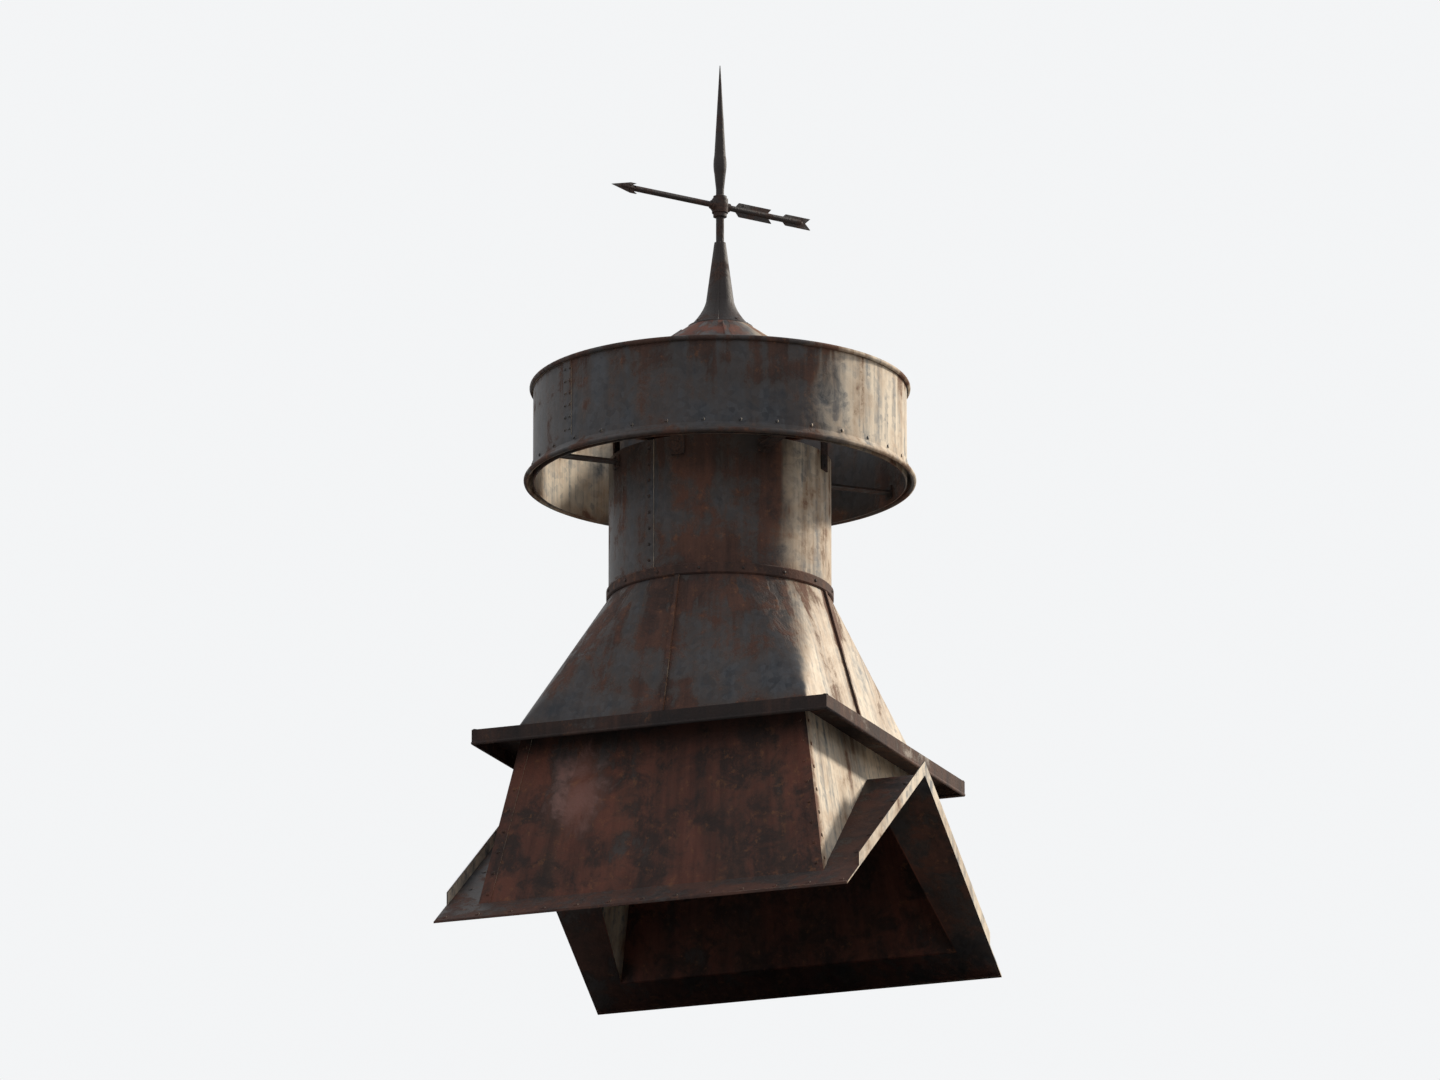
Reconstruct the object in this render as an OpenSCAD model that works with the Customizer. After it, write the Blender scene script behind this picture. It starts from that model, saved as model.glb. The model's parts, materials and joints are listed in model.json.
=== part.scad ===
// Sheet-metal roof cupola: a barn ventilator that straddles a gable ridge.
// A square splayed base carries a drip ledge, a square-to-round hood, a round neck,
// an open wind band, a conical cap and a spire with a turning arrow vane.
// Origin: centre of the footprint, level with the lowest edge of the roof flashing.
// X runs along the roof ridge, -Y is the front, Z is up.

/* [Base] */
// Slope of the roof that the base straddles, in degrees
roof_pitch = 36.87; // [20:0.01:42]
// Outside width of the base at its lower corners
base_foot_w = 850; // [780:10:940]
// Outside width of the base under the ledge
base_head_w = 700; // [640:4:760]
// Height of the ledge above the roof ridge
ridge_clearance = 92; // [50:2:160]
// Thickness of the wall sheets
wall_t = 3; // [2:0.5:6]

/* [Roof flashing] */
// Width of the flashing, measured along the roof
flange_w = 85; // [60:5:160]
// Thickness of the flashing
flange_t = 3; // [2:0.5:6]
// Height of the turned-up edge along the side flashing
flange_edge_h = 30; // [12:1:45]

/* [Drip ledge] */
// Outside width of the ledge
ledge_w = 880; // [840:4:960]
// Distance that the ledge reaches inside the base walls
ledge_inset = 18; // [10:1:40]
// Thickness of the ledge plate
ledge_t = 3; // [2:0.5:6]
// Drop of the lip along the ledge's outer edge
ledge_lip_h = 32; // [12:1:55]

/* [Hood] */
// Outside width of the hood's square foot
hood_foot_w = 722; // [700:2:820]
// Height of the hood from its square foot to its round head
hood_h = 370; // [300:2:460]
// Thickness of the hood sheets
hood_t = 3; // [2:0.5:6]
// Height of the upright skirt around the hood's foot
hood_skirt_h = 12; // [6:1:30]
// Width of the standing seam down the middle of each flat side
seam_w = 9; // [5:1:16]
// Distance that the seams stand out of the hood
seam_t = 6; // [3:0.5:12]

/* [Neck] */
// Outside diameter of the neck
neck_d = 520; // [460:2:600]
// Height of the neck above the hood
neck_h = 336; // [280:2:400]
// Thickness of the neck sheet
neck_t = 3; // [2:0.5:6]
// Height of the collar at the foot of the neck
collar_h = 26; // [14:1:50]
// Thickness of the collar
collar_t = 5; // [4:0.5:10]
// Bevel along both edges of the collar
collar_bevel = 3; // [1:0.5:4]

/* [Wind band] */
// Outside diameter of the wind band
band_d = 874; // [820:2:900]
// Height of the wind band
band_h = 236; // [200:1:290]
// Thickness of the band sheet
band_t = 3; // [2:0.5:6]
// Height that the band laps over the top of the neck
band_lap = 50; // [40:1:90]
// Diameter of the rolled edges of the band
bead_d = 12; // [8:1:18]
// Outside diameter of the flared rim under the band
rim_d = 918; // [890:2:960]
// Height of the flare
rim_flare_h = 26; // [18:1:40]
// Height of the rim's upright collar, above the flare
rim_collar_h = 16; // [8:1:40]
// Width of the flat bars that stay the band
stay_w = 30; // [18:1:50]
// Thickness of the stay bars
stay_t = 5; // [3:0.5:8]
// Height of the curved foot at each end of a stay
stay_foot_h = 30; // [20:1:36]

/* [Cap] */
// Diameter of the cap
cap_d = 660; // [600:2:700]
// Slope of the cap, in degrees
cap_pitch = 35; // [20:0.5:42]
// Height of the cap's edge over the top of the neck
cap_gap = 150; // [120:2:180]
// Thickness of the cap sheet
cap_t = 3; // [2:0.5:6]
// Drop of the lip along the cap's edge
cap_lip_h = 14; // [6:1:30]
// Diameter of the wired edge under the lip
cap_wire_d = 8; // [7:0.5:12]
// Diameter of the flat at the top of the cap
cap_flat_d = 154; // [120:2:170]
// Width of the straps that carry the cap
leg_w = 34; // [20:1:60]
// Thickness of the cap straps
leg_t = 4; // [3:0.5:8]
// Length of each strap that laps down the neck
leg_lap = 45; // [25:1:60]

/* [Spire] */
// Diameter of the ferrule's skirt where it stands on the cap
ferrule_foot_d = 150; // [110:2:170]
// Diameter of the ferrule above its skirt
ferrule_waist_d = 66; // [50:1:84]
// Height of the skirt
ferrule_skirt_h = 64; // [30:2:90]
// Depth of the hollow curve down the skirt
ferrule_skirt_sag = 6; // [1:0.5:9]
// Diameter of the ferrule at its top
ferrule_head_d = 27; // [25:1:40]
// Height of the ferrule
ferrule_h = 210; // [140:2:260]
// Diameter of the spire rod
rod_d = 19; // [14:0.5:21]
// Height of the arrow's centre above the ferrule
arrow_rise = 90; // [60:1:120]
// Diameter of the collar that the arrow turns on
stop_d = 32; // [26:1:44]
// Height of that collar
stop_h = 9; // [5:1:16]
// Length of the spear point above the arrow
spear_h = 328; // [240:4:400]
// Largest diameter of the spear point
spear_d = 31; // [25:1:44]
// Height of its widest place above its foot
spear_belly_h = 84; // [70:2:150]
// Length of the round shoulder below and above that place
spear_shoulder_l = 22; // [6:1:30]
// Depth of that shoulder's curve
spear_shoulder_drop = 2; // [0.5:0.5:2]
// Diameter of the spear's tip
spear_tip_d = 2; // [2:0.5:6]
// Length of the bare neck between the spear's collar and its swell
spear_neck_l = 14; // [4:1:30]
// Bevel round the top of the spear's collar
spear_bevel = 3; // [1:0.5:4]

/* [Arrow vane] */
// Compass turn of the tail from the roof ridge, in degrees
vane_heading = 58; // [0:1:359]
// Reach of the arrow's head from the spire
head_reach = 312; // [240:2:400]
// Reach of the arrow's tail from the spire
tail_reach = 262; // [240:2:330]
// Diameter of the arrow's shaft
shaft_d = 14; // [9:0.5:16]
// Diameter of the hub
hub_d = 38; // [34:1:50]
// Height of the hub
hub_h = 34; // [24:1:44]
// Wall of the two sockets that hold the shaft
socket_wall = 3.5; // [2:0.5:5]
// Length of each socket outside the hub
socket_l = 7; // [4:1:14]
// Length of the arrowhead
head_l = 66; // [40:1:100]
// Height of the arrowhead
head_h = 25; // [20:1:60]
// Distance from the shaft's end to the arrowhead's widest place
barb_fore = 13; // [8:1:30]
// Distance that the barbs sweep back past the shaft's end
barb_sweep = 4; // [0:0.5:12]
// Depth of the notch between each barb and the shaft
barb_notch = 7; // [3:0.5:7]
// Height of the larger tail feather
feather_h = 34; // [24:1:60]
// Length of the larger tail feather
feather_l = 108; // [60:1:112]
// Distance from the hub's socket to the larger feather
feather_start = 14; // [4:1:30]
// Height of the smaller tail feather, at the end
feather_end_h = 27; // [16:1:50]
// Length of the smaller tail feather
feather_end_l = 86; // [50:1:100]
// Sweep of the feathers' edges
feather_sweep = 15; // [6:1:24]
// Thickness of the arrow's plates
plate_t = 4; // [2:0.5:6]

/* [Fits] */
// Clearance between a piece and the curved seat that it fits
seat_gap = 0.3; // [0.1:0.1:0.5]
// Running clearance of the hub round the spire rod
hub_gap = 0.3; // [0.1:0.1:0.5]
// Clearance above and below the hub
hub_play = 0.6; // [0.3:0.1:2]

/* [Hidden] */

// Quarter turns that bring the front piece to each side
FRONT = 0;
RIGHT = 90;
BACK = 180;
LEFT = 270;
// Turns that bring the front right piece to each corner
FRONT_RIGHT = 0;
BACK_RIGHT = 90;
BACK_LEFT = 180;
FRONT_LEFT = 270;

// Colours of the weathered sheets
RUST_BASE = [0.30, 0.20, 0.17];
RUST_HOOD = [0.33, 0.25, 0.21];
RUST_BAND = [0.35, 0.28, 0.24];
DARK_IRON = [0.16, 0.13, 0.12];
PALE_ZINC = [0.55, 0.55, 0.56];

// Roof and base
pitch_tan = tan(roof_pitch);
foot_half = base_foot_w / 2;
head_half = base_head_w / 2;
ridge_h = pitch_tan * foot_half;
base_h = ridge_h + ridge_clearance;
splay = (foot_half - head_half) / base_h;
wall_inset = wall_t * sqrt(1 + splay * splay);
flange_drop = flange_w * sin(roof_pitch);
flange_reach = flange_w * cos(roof_pitch);
flange_x = foot_half + flange_w;
flange_y = foot_half + flange_reach;
flange_rise = flange_t / cos(roof_pitch);
// Distance that the eave flashing reaches in past the corners of the base
flange_lap = 2 * flange_rise;
// Distance that cutting shapes run past the base
margin = 50;
// Distance that a cut runs past the face that it opens
cut = 1;

// Levels, from the lowest edge of the flashing
foot_z = flange_drop;
ledge_z = foot_z + base_h;
hood_z = ledge_z + ledge_t;
neck_z = hood_z + hood_h;
neck_top_z = neck_z + neck_h;
band_z = neck_top_z - band_lap;
band_top_z = band_z + band_h;
cap_edge_z = neck_top_z + cap_gap;
cap_rise = (cap_d - cap_flat_d) / 2 * tan(cap_pitch);
cap_top_z = cap_edge_z + cap_rise;
ferrule_top_z = cap_top_z + ferrule_h;
arrow_z = ferrule_top_z + arrow_rise;
hub_z = arrow_z - hub_h / 2;
stop_z = hub_z - hub_play - stop_h;
spear_z = hub_z + hub_h + hub_play;

// Radii
neck_r = neck_d / 2;
band_r = band_d / 2;
rim_r = rim_d / 2;
cap_r = cap_d / 2;
bead_r = bead_d / 2;
cap_flat_r = cap_flat_d / 2;
cap_wire_r = cap_wire_d / 2;
rod_hole_d = rod_d + 2 * seat_gap;
cap_t_upright = cap_t / cos(cap_pitch);
ledge_hole = head_half - wall_t - ledge_inset;

// Arrow
socket_d = shaft_d + 2 * socket_wall;
socket_x = hub_d / 2 + socket_l;
head_x = head_reach - head_l;
feather_x = socket_x + feather_start;
feather_end_x = tail_reach - feather_end_l;

// Smoothness of the round pieces
$fn = 96;
BEAD_SIDES = 24;
hood_steps = 30;
skirt_steps = 6;
shoulder_steps = 4;

// Outlines

// Square frustum of the base, carried on below its foot, drawn in by inset
module base_block(inset) {
    low = -margin - flange_drop;
    low_half = foot_half - inset - splay * low;
    high_half = head_half - inset;
    side = [[-low_half, low], [low_half, low], [high_half, base_h], [-high_half, base_h]];
    intersection() {
        rotate([90, 0, 0])
            linear_extrude(height = 4 * foot_half, center = true)
                polygon(side);
        rotate([90, 0, 90])
            linear_extrude(height = 4 * foot_half, center = true)
                polygon(side);
    }
}

// Space above the roof, raised by lift, with the lower corners of the base at zero
module above_roof(lift) {
    reach = 2 * foot_half;
    top = base_h + margin;
    rotate([90, 0, 90])
        linear_extrude(height = 4 * foot_half, center = true)
            polygon([
                [-reach, pitch_tan * (foot_half - reach) + lift],
                [0, ridge_h + lift],
                [reach, pitch_tan * (foot_half - reach) + lift],
                [reach, top],
                [-reach, top]
            ]);
}

// Upright wedge that holds the front quarter of a square, mitred at the corners
module front_wedge(z_low, z_high) {
    reach = 2 * foot_half;
    translate([0, 0, z_low])
        linear_extrude(height = z_high - z_low)
            polygon([[0, 0], [-reach, -reach], [reach, -reach]]);
}

// Pieces of the base

module base_wall(turn) {
    color(RUST_BASE)
        translate([0, 0, foot_z])
            intersection() {
                difference() {
                    base_block(0);
                    base_block(wall_inset);
                }
                above_roof(0);
                rotate([0, 0, turn])
                    front_wedge(-margin, base_h);
            }
}

// Sheet that lies on both slopes of the roof round the base
module flashing_sheet() {
    difference() {
        intersection() {
            above_roof(0);
            translate([-flange_x, -flange_y, -2 * flange_drop])
                cube([2 * flange_x, 2 * flange_y, 2 * flange_drop + base_h]);
        }
        above_roof(flange_rise);
        base_block(0);
    }
}

// Flashing along an eave side of the base
module eave_flange(side) {
    color(RUST_BASE)
        translate([0, 0, foot_z])
            intersection() {
                flashing_sheet();
                translate([-2 * foot_half, side < 0 ? -2 * foot_half : foot_half - flange_lap, -base_h])
                    cube([4 * foot_half, foot_half + flange_lap, 2 * base_h]);
            }
}

// Flashing over the ridge beside the base, with its outer edge turned up
module ridge_flange(side) {
    edge_x = side < 0 ? -flange_x : flange_x - flange_t;
    color(PALE_ZINC)
        translate([0, 0, foot_z])
            intersection() {
                union() {
                    flashing_sheet();
                    difference() {
                        intersection() {
                            above_roof(0);
                            translate([edge_x, -flange_y, -2 * flange_drop])
                                cube([flange_t, 2 * flange_y, 2 * flange_drop + base_h]);
                        }
                        above_roof(flange_rise + flange_edge_h);
                    }
                }
                translate([side < 0 ? -2 * foot_half : 0, -foot_half + flange_lap, -base_h])
                    cube([2 * foot_half, 2 * (foot_half - flange_lap), 3 * base_h]);
            }
}

// Ledge

module ledge_side(turn) {
    half = ledge_w / 2;
    inside = half - ledge_t;
    color(DARK_IRON)
        translate([0, 0, ledge_z])
            intersection() {
                difference() {
                    translate([-half, -half, -ledge_lip_h])
                        cube([ledge_w, ledge_w, ledge_lip_h + ledge_t]);
                    translate([-inside, -inside, -ledge_lip_h - cut])
                        cube([2 * inside, 2 * inside, ledge_lip_h + cut]);
                    translate([-ledge_hole, -ledge_hole, -cut])
                        cube([2 * ledge_hole, 2 * ledge_hole, ledge_t + 2 * cut]);
                }
                rotate([0, 0, turn])
                    front_wedge(-ledge_lip_h, ledge_t);
            }
}

// Hood

// Points of one face of the front right panel: its corner, its two mid points and its arc
function hood_foot(half, z) = [[0, -half, z], [half, -half, z], [half, 0, z]];
function hood_arc(r, z) = [
    for (i = [0:hood_steps])
        let (a = -90 + 90 * i / hood_steps)
        [r * cos(a), r * sin(a), z]
];

// One quarter of the square-to-round hood: two flat triangles and, between them,
// a fan from the square's corner to a quarter of the neck
module hood_panel(turn) {
    half = hood_foot_w / 2;
    points = concat(
        hood_foot(half, 0),
        hood_foot(half, hood_skirt_h),
        hood_arc(neck_r, hood_h),
        hood_foot(half - hood_t, 0),
        hood_foot(half - hood_t, hood_skirt_h),
        hood_arc(neck_r - hood_t, hood_h)
    );
    // Places in the list: the arc's first and last points, and the start of the inner face
    arc = 6;
    last = arc + hood_steps;
    ring = last + 1;
    outer_faces = concat(
        [[0, 3, 4, 1], [1, 4, 5, 2], [3, arc, 4], [4, last, 5]],
        [for (i = [0:hood_steps - 1]) [4, arc + i, arc + i + 1]]
    );
    inner_faces = [
        for (face = outer_faces)
            [for (i = [len(face) - 1:-1:0]) face[i] + ring]
    ];
    head_faces = [
        for (i = [0:hood_steps - 1])
            [arc + i, arc + i + ring, arc + i + 1 + ring, arc + i + 1]
    ];
    foot_faces = [[0, 1, 1 + ring, ring], [1, 2, 2 + ring, 1 + ring]];
    seam_faces = [
        [0, ring, 3 + ring, 3],
        [3, 3 + ring, arc + ring, arc],
        [2, 5, 5 + ring, 2 + ring],
        [5, last, last + ring, 5 + ring]
    ];
    color(RUST_HOOD)
        translate([0, 0, hood_z])
            rotate([0, 0, turn])
                polyhedron(
                    points = points,
                    faces = concat(outer_faces, inner_faces, head_faces, foot_faces, seam_faces)
                );
}

// Standing seam where two panels meet, down the middle of a flat side
module hood_seam(turn) {
    half = hood_foot_w / 2;
    color(RUST_HOOD)
        translate([0, 0, hood_z])
            rotate([90, 0, turn + 90])
                linear_extrude(height = seam_w, center = true)
                    polygon([
                        [-half, 0],
                        [-half, hood_skirt_h],
                        [-neck_r, hood_h],
                        [-neck_r - seam_t, hood_h],
                        [-half - seam_t, hood_skirt_h],
                        [-half - seam_t, 0]
                    ]);
}

// Neck

module neck() {
    color(RUST_HOOD)
        translate([0, 0, neck_z])
            difference() {
                cylinder(r = neck_r, h = neck_h);
                translate([0, 0, -cut])
                    cylinder(r = neck_r - neck_t, h = neck_h + 2 * cut);
            }
}

// Ring round the foot of the neck, standing on the hood's seams
module neck_collar() {
    inside = neck_r + seat_gap;
    outside = inside + collar_t;
    color(DARK_IRON)
        translate([0, 0, neck_z])
            rotate_extrude()
                polygon([
                    [inside, 0],
                    [outside - collar_bevel, 0],
                    [outside, collar_bevel],
                    [outside, collar_h - collar_bevel],
                    [outside - collar_bevel, collar_h],
                    [inside, collar_h]
                ]);
}

// Wind band

// Open band with a rolled upper edge
module wind_band() {
    color(RUST_BAND)
        rotate_extrude() {
            translate([band_r - band_t, band_z])
                square([band_t, band_h - bead_r]);
            translate([band_r - band_t + bead_r, band_top_z - bead_r])
                circle(r = bead_r, $fn = BEAD_SIDES);
        }
}

// Flared rim riveted round the foot of the band, with a rolled lower edge
module band_rim() {
    inside = band_r + seat_gap;
    color(RUST_BAND)
        rotate_extrude() {
            polygon([
                [inside, band_z + rim_flare_h + rim_collar_h],
                [inside, band_z + rim_flare_h],
                [rim_r - bead_r - band_t, band_z + bead_r],
                [rim_r - bead_r, band_z + bead_r],
                [inside + band_t, band_z + rim_flare_h + band_t / 2],
                [inside + band_t, band_z + rim_flare_h + rim_collar_h]
            ]);
            translate([rim_r - bead_r, band_z + bead_r])
                circle(r = bead_r, $fn = BEAD_SIDES);
        }
}

// Part of an upright ring between two radii, of a given width, centred on the front
module curved_tab(r_in, r_out, width, h) {
    angle = 2 * asin(width / 2 / r_in);
    rotate([0, 0, -90 - angle / 2])
        rotate_extrude(angle = angle)
            translate([r_in, 0])
                square([r_out - r_in, h]);
}

// Flat bar from the neck to the band, with a curved foot at each end
module band_stay(turn) {
    neck_face = neck_r + seat_gap;
    band_face = band_r - band_t - seat_gap;
    color(DARK_IRON)
        translate([0, 0, band_z + (band_lap - stay_foot_h) / 2])
            rotate([0, 0, turn + 45]) {
                curved_tab(neck_face, neck_face + stay_t, stay_w, stay_foot_h);
                curved_tab(band_face - stay_t, band_face, stay_w, stay_foot_h);
                translate([-stay_w / 2, -band_face + stay_t / 2, (stay_foot_h - stay_t) / 2])
                    cube([stay_w, band_face - neck_face - stay_t, stay_t]);
            }
}

// Cap

// Cone with a lip and a wired edge
module cap() {
    inside = cap_r - cap_t;
    color(RUST_BAND)
        translate([0, 0, cap_edge_z])
            rotate_extrude() {
                polygon([
                    [cap_r, -cap_lip_h],
                    [cap_r, 0],
                    [cap_flat_r, cap_rise],
                    [0, cap_rise],
                    [0, cap_rise - cap_t_upright],
                    [cap_flat_r, cap_rise - cap_t_upright],
                    [inside, cap_t * tan(cap_pitch) - cap_t_upright],
                    [inside, -cap_lip_h]
                ]);
                translate([cap_r - cap_wire_r, -cap_lip_h])
                    circle(r = cap_wire_r, $fn = BEAD_SIDES);
            }
}

// Strap that laps up the outside of the neck and meets the underside of the cap
module cap_strap(turn) {
    face = neck_r + seat_gap;
    low_z = neck_top_z - leg_lap;
    color(DARK_IRON)
        intersection() {
            translate([0, 0, low_z])
                rotate([0, 0, turn])
                    curved_tab(face, face + leg_t, leg_w, cap_top_z - low_z);
            under_cap(low_z - cut);
        }
}

// Space under the cap, down to a level
module under_cap(low_z) {
    drop = cap_t_upright + seat_gap;
    rotate_extrude()
        polygon([
            [0, low_z],
            [cap_r, low_z],
            [cap_r, cap_edge_z - drop],
            [cap_flat_r, cap_top_z - drop],
            [0, cap_top_z - drop]
        ]);
}

// Spire

// Places a piece on the flat at the top of the cap
module on_cap() {
    translate([0, 0, cap_edge_z])
        translate([0, 0, cap_rise])
            children();
}

// Tapered sleeve round the rod, with a skirt that spreads over the top of the cap
module spire_ferrule() {
    spread = (ferrule_foot_d - ferrule_waist_d) / 2;
    skirt = [
        for (i = [0:skirt_steps])
            let (t = i / skirt_steps, sag = 4 * ferrule_skirt_sag * t * (1 - t))
            [ferrule_foot_d / 2 - spread * t - sag, ferrule_skirt_h * t]
    ];
    color(DARK_IRON)
        on_cap()
            rotate_extrude()
                polygon(concat(
                    [[rod_hole_d / 2, 0]],
                    skirt,
                    [[ferrule_head_d / 2, ferrule_h], [rod_hole_d / 2, ferrule_h]]
                ));
}

module spire_rod() {
    color(DARK_IRON)
        on_cap()
            cylinder(d = rod_d, h = spear_z - cap_top_z);
}

module vane_stop() {
    color(DARK_IRON)
        translate([0, 0, stop_z])
            difference() {
                cylinder(d = stop_d, h = stop_h);
                translate([0, 0, -cut])
                    cylinder(d = rod_hole_d, h = stop_h + 2 * cut);
            }
}

// Long spear point that keeps the arrow on its rod
module spear_point() {
    shoulder = [
        for (i = [-shoulder_steps:shoulder_steps])
            let (t = i / shoulder_steps)
            [spear_d / 2 - spear_shoulder_drop * t * t, spear_belly_h + spear_shoulder_l * t]
    ];
    color(DARK_IRON)
        translate([0, 0, spear_z])
            rotate_extrude()
                polygon(concat(
                    [
                        [0, 0],
                        [stop_d / 2, 0],
                        [stop_d / 2, stop_h - spear_bevel],
                        [rod_d / 2, stop_h],
                        [rod_d / 2, stop_h + spear_neck_l]
                    ],
                    shoulder,
                    [[spear_tip_d / 2, spear_h], [0, spear_h]]
                ));
}

// Arrow, drawn with its tail along +X and turned to its heading

module on_arrow() {
    translate([0, 0, arrow_z])
        rotate([0, 0, vane_heading])
            children();
}

module vane_hub() {
    color(DARK_IRON)
        on_arrow()
            difference() {
                union() {
                    translate([0, 0, -hub_h / 2])
                        cylinder(d = hub_d, h = hub_h);
                    rotate([0, 90, 0])
                        cylinder(d = socket_d, h = 2 * socket_x, center = true);
                }
                translate([0, 0, -hub_h])
                    cylinder(d = rod_d + 2 * hub_gap, h = 2 * hub_h);
            }
}

module arrow_shaft() {
    color(DARK_IRON)
        on_arrow()
            translate([-head_x, 0, 0])
                rotate([0, 90, 0])
                    cylinder(d = shaft_d, h = head_x - socket_x);
}

// Barbed spearhead, standing upright in line with the shaft
module arrow_head() {
    color(DARK_IRON)
        on_arrow()
            rotate([90, 0, 0])
                linear_extrude(height = plate_t, center = true)
                    polygon([
                        [-head_reach, 0],
                        [-head_x - barb_fore, head_h / 2],
                        [-head_x + barb_sweep, head_h / 2],
                        [-head_x - barb_notch, shaft_d / 2],
                        [-head_x, shaft_d / 2],
                        [-head_x, -shaft_d / 2],
                        [-head_x - barb_notch, -shaft_d / 2],
                        [-head_x + barb_sweep, -head_h / 2],
                        [-head_x - barb_fore, -head_h / 2]
                    ]);
}

// Outline of one swept feather, from a place along the tail
module feather(x_near, l, h) {
    x_far = x_near + l;
    polygon([
        [x_near, 0],
        [x_near + feather_sweep, h / 2],
        [x_far, h / 2],
        [x_far - feather_sweep, 0],
        [x_far, -h / 2],
        [x_near + feather_sweep, -h / 2]
    ]);
}

// Tail of the arrow: a round shaft with two upright feathers
module arrow_tail() {
    color(DARK_IRON)
        on_arrow() {
            translate([socket_x, 0, 0])
                rotate([0, 90, 0])
                    cylinder(d = shaft_d, h = tail_reach - 2 * feather_sweep - socket_x);
            rotate([90, 0, 0])
                linear_extrude(height = plate_t, center = true) {
                    feather(feather_x, feather_l, feather_h);
                    feather(feather_end_x, feather_end_l, feather_end_h);
                }
        }
}

base_wall(FRONT);  // front_wall
base_wall(BACK);  // back_wall
base_wall(LEFT);  // left_wall
base_wall(RIGHT);  // right_wall
eave_flange(-1);  // front_flange
eave_flange(1);  // back_flange
ridge_flange(-1);  // left_flange
ridge_flange(1);  // right_flange
ledge_side(FRONT);  // ledge_front
ledge_side(BACK);  // ledge_back
ledge_side(LEFT);  // ledge_left
ledge_side(RIGHT);  // ledge_right
hood_panel(FRONT_LEFT);  // hood_front_left
hood_panel(FRONT_RIGHT);  // hood_front_right
hood_panel(BACK_LEFT);  // hood_back_left
hood_panel(BACK_RIGHT);  // hood_back_right
hood_seam(FRONT);  // hood_seam_front
hood_seam(BACK);  // hood_seam_back
hood_seam(LEFT);  // hood_seam_left
hood_seam(RIGHT);  // hood_seam_right
neck();
neck_collar();
wind_band();
band_rim();
band_stay(FRONT_LEFT);  // stay_front_left
band_stay(FRONT_RIGHT);  // stay_front_right
band_stay(BACK_LEFT);  // stay_back_left
band_stay(BACK_RIGHT);  // stay_back_right
cap_strap(FRONT);  // cap_strap_front
cap_strap(BACK);  // cap_strap_back
cap_strap(LEFT);  // cap_strap_left
cap_strap(RIGHT);  // cap_strap_right
cap();
spire_ferrule();
spire_rod();
vane_stop();
spear_point();
vane_hub();
arrow_shaft();
arrow_head();
arrow_tail();
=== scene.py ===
"""The finish of a rusted sheet-metal roof cupola: its weathered sheets, seams, hems, rivets and nails.

Metres, in the part's own frame: X along the roof ridge, -Y the front, Z up.
"""
import json
import math

import bmesh
import bpy
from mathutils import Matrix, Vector


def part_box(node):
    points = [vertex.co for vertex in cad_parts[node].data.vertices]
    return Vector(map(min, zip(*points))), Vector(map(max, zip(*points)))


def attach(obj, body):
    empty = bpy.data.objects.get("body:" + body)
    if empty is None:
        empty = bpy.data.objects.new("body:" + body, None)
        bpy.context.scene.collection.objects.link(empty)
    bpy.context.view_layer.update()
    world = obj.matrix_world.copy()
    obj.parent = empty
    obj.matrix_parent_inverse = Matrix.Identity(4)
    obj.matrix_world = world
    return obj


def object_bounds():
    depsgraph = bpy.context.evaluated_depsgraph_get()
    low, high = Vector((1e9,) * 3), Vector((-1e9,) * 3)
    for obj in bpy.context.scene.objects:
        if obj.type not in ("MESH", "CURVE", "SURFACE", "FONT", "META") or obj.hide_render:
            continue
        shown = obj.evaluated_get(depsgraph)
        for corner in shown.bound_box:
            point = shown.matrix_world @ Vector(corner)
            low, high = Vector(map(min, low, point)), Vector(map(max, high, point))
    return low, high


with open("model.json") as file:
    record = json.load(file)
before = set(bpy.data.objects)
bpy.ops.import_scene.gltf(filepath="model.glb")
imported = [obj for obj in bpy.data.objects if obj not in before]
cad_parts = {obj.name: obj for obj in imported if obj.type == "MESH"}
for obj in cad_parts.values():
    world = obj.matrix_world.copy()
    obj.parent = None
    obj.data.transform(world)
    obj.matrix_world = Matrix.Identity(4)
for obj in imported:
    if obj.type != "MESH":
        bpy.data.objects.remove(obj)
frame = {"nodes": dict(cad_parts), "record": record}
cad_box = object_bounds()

CUPOLA = "cupola"
VANE = "vane"
NODES = frame["nodes"]


def low(node):
    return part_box(node)[0]


def high(node):
    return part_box(node)[1]


# Sizes that the sheets were made to
SHEET_T = 0.003
BEAD_D = 0.012
STRAP_T = 0.0043
STAY_T = 0.0053
COLLAR_T = 0.0053
FLANGE_W = 0.085
ROOF_PITCH = math.radians(36.87)

# Sizes taken from the frame
FOOT_HALF = high("front_wall").x
FOOT_Z = low("front_wall").z
HEAD_Z = high("front_wall").z
HEAD_HALF = max(v.co.x for v in NODES["front_wall"].data.vertices if v.co.z > HEAD_Z - 0.001)
FLANGE_RISE = SHEET_T / math.cos(ROOF_PITCH)
FLANGE_X = high("right_flange").x
LEDGE_HALF = high("ledge_front").x
LEDGE_LOW = low("ledge_front").z
LEDGE_TOP = high("ledge_front").z
HOOD_HALF = high("hood_front_right").x
NECK_R = high("neck").x
NECK_FOOT = low("neck").z
NECK_TOP = high("neck").z
COLLAR_TOP = high("neck_collar").z
BAND_R = high("wind_band").x - BEAD_D + SHEET_T
BAND_FOOT = low("band_rim").z
BAND_TOP = high("wind_band").z
RIM_TOP = high("band_rim").z
RIM_R = BAND_R + 0.0003 + SHEET_T
CAP_R = high("cap").x
CAP_TOP = high("cap").z
CAP_PITCH = math.radians(35)
CAP_FLAT_R = 0.077
CAP_EDGE = CAP_TOP - (CAP_R - CAP_FLAT_R) * math.tan(CAP_PITCH)
STRAP_LOW = low("cap_strap_front").z
FERRULE_R = high("spire_ferrule").x
FERRULE_TOP = high("spire_ferrule").z
FERRULE_HEAD_R = 0.0135
SKIRT_TOP_R = 0.033
SKIRT_H = 0.064
SKIRT_SAG = 0.006
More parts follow.
